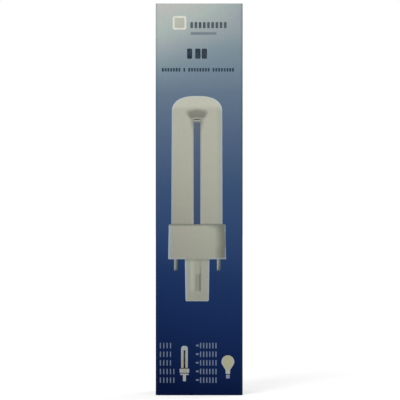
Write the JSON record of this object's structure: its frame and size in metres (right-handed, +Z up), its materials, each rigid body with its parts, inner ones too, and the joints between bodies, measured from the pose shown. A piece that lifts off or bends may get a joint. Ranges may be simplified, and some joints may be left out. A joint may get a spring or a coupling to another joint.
{
  "type": "lamp carton",
  "caption": "Closed upright folding carton with a hinged tuck lid at each end, printed front panel and a twin-tube two-pin lamp standing inside.",
  "frame": {"origin": "centre of the carton's bottom, on the surface it stands on", "axes": "+Z up along the carton, +X to the right of the front panel, the front panel faces -Y"},
  "size_m": [0.0344, 0.0225, 0.1553],
  "materials": {
    "board": "uncoated inner side of the board",
    "lid_top": "printed board, satin",
    "lid_bottom": "printed board, satin",
    "ink_glass": "printed, satin",
    "ink_bridge": "printed, satin",
    "ink_cap": "printed, satin",
    "ink_cap_shade": "printed, satin",
    "ink_post": "printed, satin",
    "ink_post_lines": "printed, satin",
    "ink_pins": "printed, satin",
    "ink_badge": "printed, satin",
    "ink_heading": "printed, satin",
    "ink_rule": "printed, satin",
    "ink_table": "printed, satin",
    "ink_icons": "printed, satin",
    "coated_glass": "white phosphor coat seen through glass",
    "cap_plastic": "moulded, satin",
    "pin_brass": "drawn, bright",
    "starter_glass": "clear glass",
    "capacitor_film": "dipped",
    "lead_wire": "tinned wire",
    "ink_ground_1": "printed, satin",
    "ink_ground_2": "printed, satin",
    "ink_ground_3": "printed, satin",
    "ink_ground_4": "printed, satin",
    "ink_ground_5": "printed, satin",
    "ink_ground_6": "printed, satin",
    "ink_ground_7": "printed, satin",
    "ink_ground_8": "printed, satin"
  },
  "bodies": {
    "carton": {"carton_body": "board", "lamp_glass": "coated_glass", "cap_shell": "cap_plastic", "pin_plate": "cap_plastic", "contact_pins": "pin_brass", "glow_starter": "starter_glass", "starter_capacitor": "capacitor_film", "electrode_leads": "lead_wire", "print_lamp_glass": "ink_glass", "print_lamp_bridge": "ink_bridge", "print_lamp_cap": "ink_cap", "print_lamp_cap_shade": "ink_cap_shade", "print_lamp_post": "ink_post", "print_lamp_post_lines": "ink_post_lines", "print_lamp_pins": "ink_pins", "print_badge": "ink_badge", "print_heading_bars": "ink_heading", "print_heading_rule": "ink_rule", "print_table_bars": "ink_table", "print_icon_lamp": "ink_icons", "print_icon_bulb": "ink_icons", "print_ground_1": "ink_ground_1", "print_ground_2": "ink_ground_2", "print_ground_3": "ink_ground_3", "print_ground_4": "ink_ground_4", "print_ground_5": "ink_ground_5", "print_ground_6": "ink_ground_6", "print_ground_7": "ink_ground_7", "print_ground_8": "ink_ground_8"},
    "top_lid": {"top_lid": "lid_top"},
    "bottom_lid": {"bottom_lid": "lid_bottom"}
  },
  "joints": [
    {"name": "top_lid_hinge", "type": "hinge", "parent": "carton", "child": "top_lid", "pos_m": [0, 0.01098, 0.15507], "axis": [-1, 0, 0], "range_deg": [0, 180]},
    {"name": "bottom_lid_hinge", "type": "hinge", "parent": "carton", "child": "bottom_lid", "pos_m": [0, 0.01098, 0.00022], "axis": [1, 0, 0], "range_deg": [0, 180]}
  ]
}
